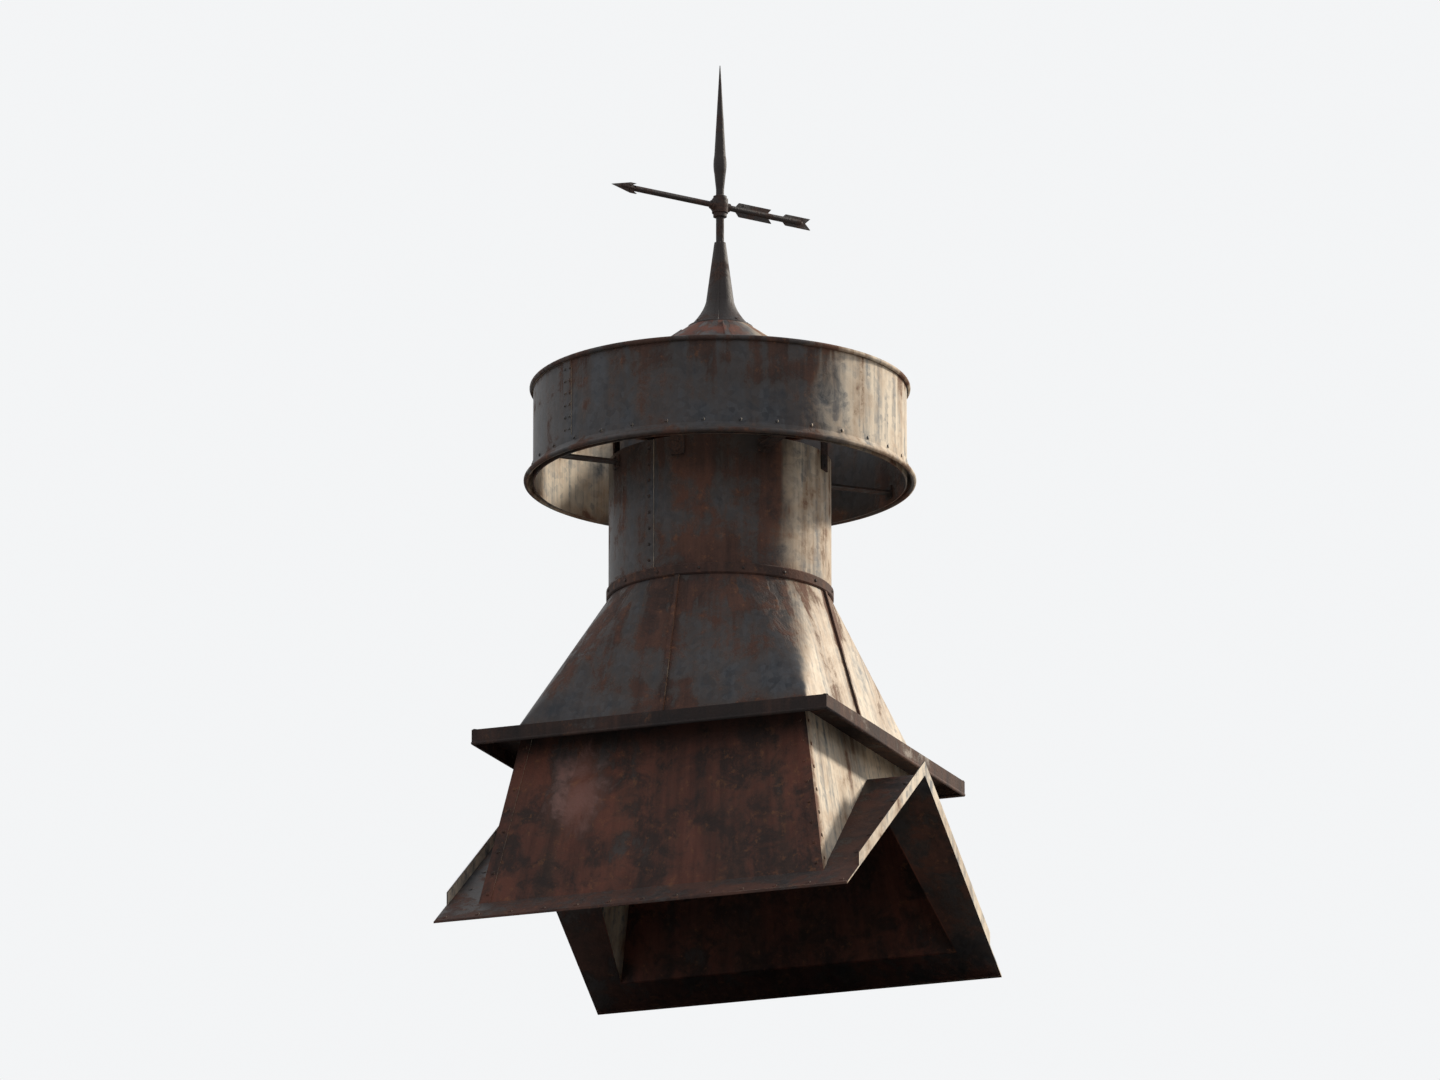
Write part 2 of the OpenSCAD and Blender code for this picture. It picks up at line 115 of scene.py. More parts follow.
HUB_Z = (low("vane_hub").z + high("vane_hub").z) / 2
SHAFT_R = 0.007
SHAFT_END = 0.232
HEAD_FOOT = 0.246
HUB_R = 0.019
PLATE_T = 0.004


# Materials

def srgb(r, g, b):
    """A colour given in 0 to 255, as linear light."""
    linear = [((c / 255 + 0.055) / 1.055) ** 2.4 if c > 10 else c / 255 / 12.92 for c in (r, g, b)]
    return (*linear, 1.0)


# The side facing the key lamp is painted as lit: pale zinc, pale stains and pale rust, and less rust.
# The side away from it is painted as shaded: dark zinc and dark stains, and more rust.
PAINTED_LIGHT_SIDE = (0.57, 0.82, 0.0)
ZINC_PAINTED_SHADE = (srgb(43, 46, 51), srgb(80, 83, 88))
ZINC_PAINTED_LIGHT = (srgb(118, 120, 121), srgb(221, 206, 184))
STAIN_PAINTED_SHADE = srgb(70, 59, 53)
STAIN_PAINTED_LIGHT = srgb(164, 136, 108)
RUST_DARK = srgb(56, 42, 38)
RUST_MID = srgb(84, 61, 51)
RUST_RED = srgb(118, 68, 54)
RUST_BRIGHT = srgb(140, 94, 64)
RUST_PAINTED_LIGHT = srgb(122, 84, 62)
# Dark for dirt, also used for the painted shade under the ledge and under the wind band.
DIRT_AND_SHADE_DARK = srgb(29, 25, 25)
IRON = srgb(52, 47, 46)
PINK_RUST = srgb(138, 98, 88)


class Shader:
    """One node material, built from small named steps. Each step gives back a socket."""

    def __init__(self, name, runs_down=None):
        self.material = bpy.data.materials.new(name)
        self.material.use_nodes = True
        self.tree = self.material.node_tree
        self.tree.nodes.clear()
        source = self.tree.nodes.new("ShaderNodeTexCoord")
        self.place = source.outputs["Object"]
        self.normal = source.outputs["Normal"]
        split = self.node("ShaderNodeSeparateXYZ", {0: self.place})
        self.x, self.y, self.z = split.outputs
        self.flow = runs_down(self) if runs_down else self.place

    def node(self, kind, inputs, **settings):
        made = self.tree.nodes.new(kind)
        for key, value in settings.items():
            setattr(made, key, value)
        for key, value in inputs.items():
            self.feed(made.inputs[key], value)
        return made

    def feed(self, socket, value):
        if isinstance(value, bpy.types.NodeSocket):
            self.tree.links.new(value, socket)
        else:
            socket.default_value = value

    def math(self, operation, *values):
        return self.node("ShaderNodeMath", dict(enumerate(values)), operation=operation).outputs[0]

    def vector(self, operation, *values):
        made = self.node("ShaderNodeVectorMath", dict(enumerate(values)), operation=operation)
        return made.outputs[0]

    def scaled(self, vector, factor):
        made = self.node("ShaderNodeVectorMath", {0: vector, "Scale": factor}, operation="SCALE")
        return made.outputs[0]

    def dot(self, first, second):
        made = self.node("ShaderNodeVectorMath", {0: first, 1: second}, operation="DOT_PRODUCT")
        return made.outputs["Value"]

    def length(self, vector):
        return self.node("ShaderNodeVectorMath", {0: vector}, operation="LENGTH").outputs["Value"]

    def total(self, *values):
        result = values[0]
        for value in values[1:]:
            result = self.math("ADD", result, value)
        return result

    def product(self, *values):
        result = values[0]
        for value in values[1:]:
            result = self.math("MULTIPLY", result, value)
        return result

    def weighted(self, *pairs):
        """The sum of values, each times its weight."""
        return self.total(*[self.product(value, weight) for value, weight in pairs])

    def step(self, value, start, end, low_value=0.0, high_value=1.0, smooth=True):
        """A value that goes from one level to another as its source goes from start to end."""
        inputs = {
            "Value": value, "From Min": start, "From Max": end,
            "To Min": low_value, "To Max": high_value,
        }
        kind = "SMOOTHSTEP" if smooth else "LINEAR"
        return self.node("ShaderNodeMapRange", inputs, interpolation_type=kind).outputs["Result"]

    def near(self, value, level, reach):
        """1 where a value is at a level, and 0 from reach away."""
        away = self.math("ABSOLUTE", self.math("SUBTRACT", value, level))
        return self.step(away, 0.0, reach, 1.0, 0.0)

    def noise(self, vector, scale, detail, roughness, distortion=0.0):
        return self.node("ShaderNodeTexNoise", {
            "Vector": vector, "Scale": scale, "Detail": detail, "Roughness": roughness,
            "Distortion": distortion,
        }).outputs["Fac"]

    def cells(self, vector, scale):
        """A grey of its own for each crystal of the zinc."""
        found = self.node("ShaderNodeTexVoronoi", {"Vector": vector, "Scale": scale})
        return self.node("ShaderNodeSeparateColor", {0: found.outputs["Color"]}).outputs[0]

    def mix(self, share, first, second):
        """The first colour at a share of 0, the second at 1."""
        factor, colour_a, colour_b, colour_out = 0, 6, 7, 2
        made = self.node("ShaderNodeMix", {}, data_type="RGBA")
        self.feed(made.inputs[factor], share)
        self.feed(made.inputs[colour_a], first)
        self.feed(made.inputs[colour_b], second)
        return made.outputs[colour_out]

    def bump(self, height, distance, below=None):
        inputs = {"Height": height, "Distance": distance, "Strength": 1.0}
        if below is not None:
            inputs["Normal"] = below
        return self.node("ShaderNodeBump", inputs).outputs["Normal"]

    def finish(self, colour, roughness, metallic, normal, specular):
        surface = self.node("ShaderNodeBsdfPrincipled", {
            "Base Color": colour, "Roughness": roughness, "Metallic": metallic, "Normal": normal,
            "Specular IOR Level": specular,
        })
        output = self.node("ShaderNodeOutputMaterial", {})
        self.tree.links.new(surface.outputs[0], output.inputs["Surface"])
        return self.material


class Sheet(Shader):
    """The shader of a sheet, with the noises that all its marks share."""

    def __init__(self, name, runs_down):
        super().__init__(name, runs_down)
        self.broad = self.noise(self.place, 2.7, detail=5, roughness=0.55, distortion=0.7)
        self.blotch = self.noise(self.place, 13, detail=9, roughness=0.7, distortion=0.4)
        self.grit = self.noise(self.place, 170, detail=4, roughness=0.62)
        self.runs = self.noise(self.flow, 11, detail=6, roughness=0.62)
        self.thin_runs = self.noise(self.flow, 42, detail=4, roughness=0.6)


# How much slower marks change down a sheet than across it
UPRIGHT_STRETCH = 0.07
SPLAYED_STRETCH = 0.2
CONE_STRETCH = 0.25
# Radius at which marks on the cone are as wide as on a flat sheet
CONE_MARKS_R = CAP_R * 0.6


def run_vertical(s):
    """Coordinates in which water runs straight down an upright sheet."""
    return s.vector("MULTIPLY", s.place, (1.0, 1.0, UPRIGHT_STRETCH))


def run_splayed(foot_half, foot_z, head_half, head_z):
    """The same on sheets that lean in towards their head."""
    def coordinates(s):
        half = s.step(s.z, foot_z, head_z, foot_half, head_half, smooth=False)
        across = s.node("ShaderNodeCombineXYZ", {
            0: s.math("DIVIDE", s.x, half),
            1: s.math("DIVIDE", s.y, half),
            2: s.product(s.z, SPLAYED_STRETCH),
        }).outputs[0]
        return s.scaled(across, foot_half)
    return coordinates


def run_radial(s):
    """The same on a cone: coordinates that change round it and hardly down it."""
    ray = s.vector("NORMALIZE", s.vector("MULTIPLY", s.place, (1.0, 1.0, 0.0)))
    drop = s.node("ShaderNodeCombineXYZ", {2: s.product(s.z, CONE_STRETCH)}).outputs[0]
    return s.vector("ADD", s.scaled(ray, CONE_MARKS_R), drop)


def levels(*places):
    """An amount along edges at given heights, each with its reach and its strength."""
    def amount(s):
        return s.weighted(*[(s.near(s.z, z, reach), strength) for z, reach, strength in places])
    return amount


def drips(top, length, strength):
    """Rust that has run down from a seam."""
    def amount(s):
        fall = s.step(s.z, top - length, top, smooth=False)
        below_seam = s.step(s.z, top + 0.001, top + 0.004, 1.0, 0.0)
        runs = s.step(s.noise(s.flow, 24, detail=3, roughness=0.5), 0.45, 0.62)
        return s.product(fall, below_seam, runs, strength)
    return amount


def corners(s, reach=0.05, strength=0.09):
    """Rust where two walls of the base meet."""
    across = s.math("SUBTRACT", s.math("ABSOLUTE", s.x), s.math("ABSOLUTE", s.y))
    return s.product(s.near(across, 0.0, reach), strength)


def middles(s, reach=0.03, strength=0.07):
    """Rust beside the seams down the middle of the hood's sides."""
    nearest = s.math("MINIMUM", s.math("ABSOLUTE", s.x), s.math("ABSOLUTE", s.y))
    return s.product(s.near(nearest, 0.0, reach), strength)


def painted_light_share(s, painted_light_level):
    """How far a face looks towards the key lamp, with a ragged edge: the share of it painted as light.
    """
    ragged = s.step(s.blotch, 0.3, 0.7, -0.13, 0.13, smooth=False)
    towards = s.math("ADD", s.dot(s.normal, PAINTED_LIGHT_SIDE), ragged)
    return s.step(towards, -0.12, 0.26, 0.0, painted_light_level)


def zinc_colour(s, painted_lit):
    """Galvanised sheet, with its crystals just visible: dark zinc as painted shade, and pale streaked
    zinc as painted light on the side facing the key lamp.
    """
    spangle = s.cells(s.place, 75)
    shine = s.weighted((spangle, 0.16), (s.blotch, 0.72), (s.thin_runs, 0.45))
    painted_shade_zinc = s.mix(s.step(shine, 0.47, 0.88), *ZINC_PAINTED_SHADE)
    chalk = s.weighted((spangle, 0.10), (s.blotch, 0.40), (s.thin_runs, 0.80))
    return s.mix(painted_lit, painted_shade_zinc, s.mix(s.step(chalk, 0.42, 0.74), *ZINC_PAINTED_LIGHT))


def rust_colour(s, painted_lit, red):
    """Rust in dark and red patches, with bright flecks, painted paler as painted light on the side
    facing the key lamp.
    """
    deep = s.mix(s.step(s.blotch, 0.40, 0.60), RUST_DARK, RUST_MID)
    flush = s.weighted((s.runs, 0.4), (s.blotch, 0.6))
    reddened = s.mix(s.product(s.step(flush, 0.42, 0.58), red), deep, RUST_RED)
    fleck = s.step(s.noise(s.place, 46, detail=6, roughness=0.72), 0.56, 0.68)
    flecked = s.mix(s.product(fleck, 0.5), reddened, RUST_BRIGHT)
    return s.mix(s.product(painted_lit, 0.75), flecked, RUST_PAINTED_LIGHT)


def rust_level(s, painted_lit, rust, painted_lit_rust, edges):
    """How far each place is on its way to rust: about 0.5 is where the sheet starts to show it."""
    middle, reach = 0.5, 0.26
    spread = s.weighted((s.broad, 0.38), (s.blotch, 0.34), (s.runs, 0.28))
    spread = s.total(spread, *[edge(s) for edge in edges])
    # The side painted as lit rusts less, the side painted as shaded more.
    shifts = [(amount - middle) * reach for amount in (rust, painted_lit_rust)]
    return s.math("ADD", spread, s.step(painted_lit, 0.0, 1.0, *shifts, smooth=False))


def dirt_and_shade_share(s, painted_lit, soot_and_shade):
    """Where dirt lies, less of it on the side painted as lit, plus darkening at given heights, which on
    the base and the neck is painted shade under the ledge and under the wind band.
    """
    dirt_shade_level = s.weighted((s.thin_runs, 0.26), (s.blotch, 0.24), (s.broad, 0.5), (painted_lit, -0.15))
    if soot_and_shade:
        dirt_shade_level = s.math("ADD", dirt_shade_level, soot_and_shade(s))
    return s.step(dirt_shade_level, 0.45, 0.66)


def patch_share(s, centre, size):
    """A ragged oval round a place."""
    away = s.length(s.vector("DIVIDE", s.vector("SUBTRACT", s.place, centre), size))
    ragged = s.math("ADD", away, s.step(s.blotch, 0.3, 0.7, -0.9, 0.9, smooth=False))
    return s.step(ragged, 0.1, 1.5, 1.0, 0.0)


def sheet_relief(s, rusty, dents):
    """Shallow dents in the sheet, and scale where it has rusted."""
    dented = s.bump(s.noise(s.place, 4.2, detail=2, roughness=0.5), dents)
    scaly = s.weighted((s.grit, 0.6), (s.blotch, 0.5))
    return s.bump(s.product(scaly, s.step(rusty, 0.0, 1.0, 0.25, 1.0)), 0.0022, dented)


def weathered(name, runs_down, rust, painted_lit_rust, red, dirt_and_shade_depth, edges, painted_light_level=1.0, soot_and_shade=None, patch=None,
              dents=0.004):
    """Galvanised sheet worn to dull zinc, with rust that spreads from its edges and runs down.

    rust and painted_lit_rust say how much of the side painted as shaded and of the side painted as lit
    has rusted, red how much of the rust is red, dirt_and_shade_depth how dark the dirt and the painted
    shade are, and painted_light_level how pale the painted light makes the lit side.
    """
    s = Sheet(name, runs_down)
    painted_lit = painted_light_share(s, painted_light_level)
    level = rust_level(s, painted_lit, rust, painted_lit_rust, edges)
    rusty = s.step(level, 0.465, 0.545)
    halo = s.product(s.step(level, 0.37, 0.52), 0.8)
    # Stains painted pale on the side painted as lit, and dark on the side painted as shaded.
    stained = s.mix(halo, zinc_colour(s, painted_lit), s.mix(painted_lit, STAIN_PAINTED_SHADE, STAIN_PAINTED_LIGHT))
    colour = s.mix(rusty, stained, rust_colour(s, painted_lit, red))
    # Dirt, with the painted shade under the ledge and the wind band mixed in as the same dark.
    dirt_and_painted_shade = s.product(dirt_and_shade_share(s, painted_lit, soot_and_shade), dirt_and_shade_depth)
    colour = s.mix(dirt_and_painted_shade, colour, DIRT_AND_SHADE_DARK)
    if patch:
        colour = s.mix(s.product(patch_share(s, *patch), 0.8), colour, PINK_RUST)

    matt = s.step(s.total(rusty, s.product(painted_lit, 0.6)), 0.0, 1.0, 0.44, 0.76)
    roughness = s.total(matt, s.product(s.grit, 0.14))
    metallic = s.step(s.total(rusty, dirt_and_painted_shade, s.product(painted_lit, 0.35)), 0.0, 0.6, 0.35, 0.0)
    return s.finish(colour, roughness, metallic, sheet_relief(s, rusty, dents), specular=0.35)


def rusted_iron(name, rust):
    """Dark iron with scale and blotches of rust."""
    s = Shader(name)
    blotch = s.noise(s.place, 22, detail=8, roughness=0.7, distortion=0.3)
    grit = s.noise(s.place, 240, detail=4, roughness=0.6)
    level = 0.5 + (0.5 - rust) * 0.3
    rusty = s.step(blotch, level - 0.06, level + 0.08)
    rust_tone = s.mix(s.step(grit, 0.4, 0.62), RUST_DARK, RUST_MID)
    colour = s.mix(s.product(rusty, 0.75), IRON, rust_tone)
    roughness = s.step(rusty, 0.0, 1.0, 0.55, 0.85)
    metallic = s.step(rusty, 0.0, 1.0, 0.3, 0.0)
    normal = s.bump(s.weighted((grit, 0.7), (blotch, 0.6)), 0.0016)
    return s.finish(colour, roughness, metallic, normal, specular=0.3)


# The pale patch on the front of the base: its centre and its reach along each axis
BASE_PATCH = ((-0.20, -0.375, 0.30), (0.055, 0.08, 0.085))
run_base = run_splayed(FOOT_HALF, FOOT_Z, HEAD_HALF, HEAD_Z)
run_hood = run_splayed(HOOD_HALF, LEDGE_TOP, NECK_R, NECK_FOOT)

SLOT_FINISHES = {
    "base_sheet": weathered(
        "base_sheet", run_base, rust=0.78, painted_lit_rust=0.15, red=0.7, dirt_and_shade_depth=0.65, patch=BASE_PATCH,
        edges=[levels((FOOT_Z, 0.06, 0.05)), corners, drips(HEAD_Z, 0.25, 0.06)],
        # Painted shade on the wall under the ledge.
        soot_and_shade=levels((HEAD_Z, 0.09, 0.22)),
    ),
    "flashing": weathered(
        "flashing", run_base, rust=0.60, painted_lit_rust=0.12, red=0.3, dirt_and_shade_depth=0.45,
        edges=[levels((0.0, 0.03, 0.04))], soot_and_shade=levels((0.05, 0.5, 0.08)), dents=0.002,
    ),
    "ledge_sheet": weathered(
        "ledge_sheet", run_vertical, rust=0.85, painted_lit_rust=0.7, red=0.2, dirt_and_shade_depth=0.9, painted_light_level=0.35,
        edges=[levels((LEDGE_LOW, 0.015, 0.08))], soot_and_shade=levels((LEDGE_LOW, 0.2, 0.12)), dents=0.001,
    ),
    "hood_sheet": weathered(
        "hood_sheet", run_hood, rust=0.42, painted_lit_rust=0.30, red=0.2, dirt_and_shade_depth=0.65, painted_light_level=0.80,
        edges=[levels((LEDGE_TOP, 0.05, 0.07)), middles, drips(NECK_FOOT, 0.30, 0.09)],
    ),
    "neck_sheet": weathered(
        "neck_sheet", run_vertical, rust=0.44, painted_lit_rust=0.18, red=0.2, dirt_and_shade_depth=0.7,
        edges=[levels((NECK_FOOT, 0.05, 0.05)), drips(NECK_TOP, 0.30, 0.08)],
        # Painted shade on the top of the neck, under the wind band.
        soot_and_shade=levels((NECK_TOP, 0.16, 0.12)),
    ),
    "band_sheet": weathered(
        "band_sheet", run_vertical, rust=0.26, painted_lit_rust=0.08, red=0.1, dirt_and_shade_depth=0.6,
        edges=[levels((BAND_FOOT, 0.04, 0.07), (BAND_TOP, 0.03, 0.05)), drips(BAND_TOP, 0.20, 0.09)],
    ),
    "cap_sheet": weathered(
        "cap_sheet", run_radial, rust=0.36, painted_lit_rust=0.25, red=0.7, dirt_and_shade_depth=0.2,
        edges=[levels((CAP_EDGE, 0.035, 0.07)), drips(CAP_TOP, 0.16, 0.08)],
    ),
    "strap_iron": rusted_iron("strap_iron", rust=0.6),
    "spire_iron": rusted_iron("spire_iron", rust=0.35),
    "vane_iron": rusted_iron("vane_iron", rust=0.45),
}


def dress_nodes():
    """Gives every node of the frame the finish of its slot."""
    for part in frame["record"]["subparts"]:
        node = NODES[part["node"]]
        if not node.material_slots:
            node.data.materials.append(None)
        for held in node.material_slots:
            held.link = "OBJECT"
            held.material = SLOT_FINISHES[part["material_slot"]]


# Shapes

SIDES = (-1, 1)
FOUR_CORNERS = [(side_x, side_y) for side_x in SIDES for side_y in SIDES]
UP = Vector((0, 0, 1))
# How far seams and strips are sunk into the sheet under them
SUNK = 0.0005


def piece(name, bm, slot, body=CUPOLA, smooth=True):
    """Turns a bmesh into a piece that rides on a body, with its slot's finish."""
    bmesh.ops.recalc_face_normals(bm, faces=bm.faces)
    mesh = bpy.data.meshes.new(name)
    bm.to_mesh(mesh)
    bm.free()
    mesh.polygons.foreach_set("use_smooth", [smooth] * len(mesh.polygons))
    made = bpy.data.objects.new(name, mesh)
    bpy.context.scene.collection.objects.link(made)
    mesh.materials.append(SLOT_FINISHES[slot])
    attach(made, body)
    return made


def bridge(bm, near, far):
    """Faces between two rings of the same count."""
    for i in range(len(near)):
        j = (i + 1) % len(near)
        bm.faces.new((near[i], near[j], far[j], far[i]))


def loft(bm, rings, closed=False):
    """Joins rings of points, all of the same count, into a skin."""
    made = [[bm.verts.new(point) for point in ring] for ring in rings]
    for near, far in zip(made, made[1:]):
        bridge(bm, near, far)
    if closed:
        bridge(bm, made[-1], made[0])
    else:
        bm.faces.new(made[0])
        bm.faces.new(made[-1])


def disc(radius, sides):
    """Points of a circle, as pairs."""
    turns = [2 * math.pi * i / sides for i in range(sides)]
    return [(radius * math.cos(t), radius * math.sin(t)) for t in turns]


def tube(bm, points, radius, sides=8, closed=False):
    """A round bar along a path."""
    rings = []
    count = len(points)
    for i, point in enumerate(points):
        before = points[i - 1] if i or closed else point
        after = points[(i + 1) % count] if i < count - 1 or closed else point
        ahead = (Vector(after) - Vector(before)).normalized()
        side = ahead.cross(UP)
        is_upright = side.length <= 0.01
        side = Vector((1, 0, 0)) if is_upright else side.normalized()
        up = side.cross(ahead).normalized()
        rings.append([Vector(point) + side * a + up * b for a, b in disc(radius, sides)])
    loft(bm, rings, closed)


def rivet(bm, place, outward, radius=0.005, rise=0.0026, sides=10):
    """A domed head, sunk a hair into the surface that it sits on."""
    turn = Vector(outward).to_track_quat("Z", "Y").to_matrix()
    rings = 3
    sunk = 0.0004
    skin = []
    for k in range(rings):
        slope = math.pi / 2 * k / rings
        ring = disc(radius * math.cos(slope), sides)
        height = rise * math.sin(slope) - (sunk if k == 0 else 0)
        skin.append([bm.verts.new(Vector(place) + turn @ Vector((a, b, height))) for a, b in ring])
    tip = bm.verts.new(Vector(place) + turn @ Vector((0, 0, rise)))
    for near, far in zip(skin, skin[1:]):
        bridge(bm, near, far)
    for i in range(sides):
        bm.faces.new((skin[-1][i], skin[-1][(i + 1) % sides], tip))
    bm.faces.new(skin[0])


def polar(radius, angle, z):
    return Vector((radius * math.cos(angle), radius * math.sin(angle), z))


def rivet_ring(bm, wall_r, z, count, start, radius):
    """Rivets round an upright cylinder."""
    for i in range(count):
        angle = start + 2 * math.pi * i / count
        rivet(bm, polar(wall_r, angle, z), polar(1, angle, 0), radius=radius)


def curved_strip(bm, radius, thickness, centre, width, z_low, z_high, steps=6):
    """A strip that laps a cylinder, from one height to another."""
    half = width / 2 / radius
    turns = [centre - half + 2 * half * i / steps for i in range(steps + 1)]
    rings = []
    for z in (z_low, z_high):
        inner = [polar(radius - SUNK, t, z) for t in turns]
        outer = [polar(radius + thickness, t, z) for t in reversed(turns)]
        rings.append(inner + outer)
    loft(bm, rings)


def flat_ridge(middle, across, outward, foot, top, height, sunk):
    """Section of a low ridge on a surface, with half its width at its foot and at its top."""
    return [
        middle - across * foot - outward * sunk,
        middle - across * top + outward * height,
        middle + across * top + outward * height,
        middle + across * foot - outward * sunk,
    ]


# Base

SPLAY = math.atan2(FOOT_HALF - HEAD_HALF, HEAD_Z - FOOT_Z)
CORNER_LEG = 0.026
CORNER_T = 0.0016


def roof_level(y):
    """Height of the flashing's upper face at a distance from the ridge."""
    return FOOT_Z + FLANGE_RISE + math.tan(ROOF_PITCH) * (FOOT_HALF - abs(y))


def roof_outward(side):
    """Direction out of the front or the back slope of the roof."""
    return Vector((0, side * math.sin(ROOF_PITCH), math.cos(ROOF_PITCH)))


def onto_flashing(point, along, tries=12, share=0.8):
    """Slides a point along a line until it is on the flashing, by a share of the way in each try."""
    for _ in range(tries):
        point = point + along * ((roof_level(point.y) - point.z) / along.z * share)
    return point


def corner_lines(side_x, side_y):
    """A corner of the base: its foot, head and direction, and each wall's outward and inward ones."""
    foot = Vector((side_x * FOOT_HALF, side_y * FOOT_HALF, FOOT_Z))
    head = Vector((side_x * HEAD_HALF, side_y * HEAD_HALF, HEAD_Z))
    along = (head - foot).normalized()
    out_x = Vector((side_x * math.cos(SPLAY), 0, math.sin(SPLAY)))
    out_y = Vector((0, side_y * math.cos(SPLAY), math.sin(SPLAY)))
    in_x = out_x.cross(along)
    in_x *= -1 if in_x.y * side_y > 0 else 1
    in_y = out_y.cross(along)
    in_y *= -1 if in_y.x * side_x > 0 else 1
    return foot, head, along, (out_x, in_x), (out_y, in_y)


def corner_strips(top_gap=0.002):
    """Folded strips over the four corners of the base."""
    bm = bmesh.new()
    for side_x, side_y in FOUR_CORNERS:
        foot, head, along, (out_x, in_x), (out_y, in_y) = corner_lines(side_x, side_y)
        section = [
            in_x * CORNER_LEG - out_x * SUNK,
            in_x * CORNER_LEG + out_x * CORNER_T,
            (out_x + out_y) * (CORNER_T / (1 + out_x.dot(out_y))),
            in_y * CORNER_LEG + out_y * CORNER_T,
            in_y * CORNER_LEG - out_y * SUNK,
            Vector((0, 0, 0)),
        ]
        low_ring = [onto_flashing(foot + offset, along) for offset in section]
        high_ring = [head + offset - along * top_gap for offset in section]
        loft(bm, [low_ring, high_ring])
    return piece("corner_strips", bm, "base_sheet", smooth=False)


def corner_rivets(pitch=0.052, first=0.022, both_ends=0.05, headroom=0.012):
    """Rivets down both legs of each corner strip."""
    bm = bmesh.new()
    in_from_corner = CORNER_LEG * 0.55
    for side_x, side_y in FOUR_CORNERS:
        foot, head, along, *walls = corner_lines(side_x, side_y)
        for outward, inward in walls:
            leg = inward * in_from_corner + outward * CORNER_T
            start = onto_flashing(foot + leg, along)
            room = (head + leg - start).length - both_ends
            count = int(room / pitch)
            for i in range(count + 1):
                place = start + along * (first + room * i / count)
                if place.z < HEAD_Z - headroom:
                    rivet(bm, place, outward, radius=0.0048)
    return piece("corner_rivets", bm, "base_sheet")


def flashing_nails(pitch=0.078, inset=0.020, past_fold=0.012, from_ridge=0.04, per_slope=5):
    """Broad-headed nails that hold the flashing to the roof."""
    bm = bmesh.new()
    nail = {"radius": 0.0065, "rise": 0.0022}
    reach_x = FLANGE_X - inset
    reach_y = FOOT_HALF + (FLANGE_W - inset) * math.cos(ROOF_PITCH)
    for side in SIDES:
        y = side * reach_y
        count = int(2 * reach_x / pitch)
        for i in range(count + 1):
            x = -reach_x + 2 * reach_x * i / count
            rivet(bm, (x, y, roof_level(y)), roof_outward(side), **nail)
    for side_x, side_y in FOUR_CORNERS:
        x = side_x * (reach_x - past_fold)
        for i in range(per_slope):
            y = side_y * (from_ridge + i * pitch)
            rivet(bm, (x, y, roof_level(y)), roof_outward(side_y), **nail)
    return piece("flashing_nails", bm, "flashing")


def flashing_hems(radius=0.0026, from_edge=0.004, below_face=0.0012, end_gap=0.002):
    """Folded hems along the eave edges of the flashing."""
    bm = bmesh.new()
    x = FLANGE_X - end_gap
    for side in SIDES:
        y = side * (FOOT_HALF + (FLANGE_W - from_edge) * math.cos(ROOF_PITCH))
        z = roof_level(y) - below_face
        tube(bm, [(-x, y, z), (x, y, z)], radius)
    return piece("flashing_hems", bm, "flashing")


# Ledge and hood

def ledge_hem(radius=0.0042, inset=0.0018, above_edge=0.003):
    """Rolled hem along the lower edge of the ledge's lip."""
    bm = bmesh.new()
    half = LEDGE_HALF - inset
    z = LEDGE_LOW + above_edge
    lip = [(-half, -half, z), (half, -half, z), (half, half, z), (-half, half, z)]
    tube(bm, lip, radius, sides=10, closed=True)
    return piece("ledge_hem", bm, "ledge_sheet")


def ledge_laps(start=0.004, end=0.085, thickness=0.0018):
    """Small soldered tabs over the ledge's mitred corners."""
    bm = bmesh.new()
    for side_x, side_y in FOUR_CORNERS:
        corner = Vector((side_x * LEDGE_HALF, side_y * LEDGE_HALF, LEDGE_TOP))
        inward = Vector((-side_x, -side_y, 0)).normalized()
        across = Vector((side_x, -side_y, 0)).normalized()
        loft(bm, [
            flat_ridge(corner + inward * distance, across, UP, 0.007, 0.004, thickness, 0.0)
            for distance in (start, end)
        ])
    return piece("ledge_laps", bm, "ledge_sheet")


def hood_rivets(pitch=0.092, above_ledge=0.006):
    """Rivets along the hood's skirt."""
    bm = bmesh.new()
    head = {"radius": 0.004, "rise": 0.002}
    z = LEDGE_TOP + above_ledge
    count = int(2 * HOOD_HALF / pitch)
    for i in range(count):
        t = -HOOD_HALF + (i + 0.5) * 2 * HOOD_HALF / count
        for side in SIDES:
            rivet(bm, (t, side * HOOD_HALF, z), (0, side, 0), **head)
            rivet(bm, (side * HOOD_HALF, t, z), (side, 0, 0), **head)
    return piece("hood_rivets", bm, "hood_sheet")


# Neck

NECK_SEAM_AT = math.radians(-107)
SEAM_W = 0.026
SEAM_T = 0.0014


def neck_seam():
    """Lapped seam up the neck."""
    bm = bmesh.new()
    curved_strip(bm, NECK_R, SEAM_T, NECK_SEAM_AT, SEAM_W, COLLAR_TOP, NECK_TOP - 0.001)
    return piece("neck_seam", bm, "neck_sheet", smooth=False)


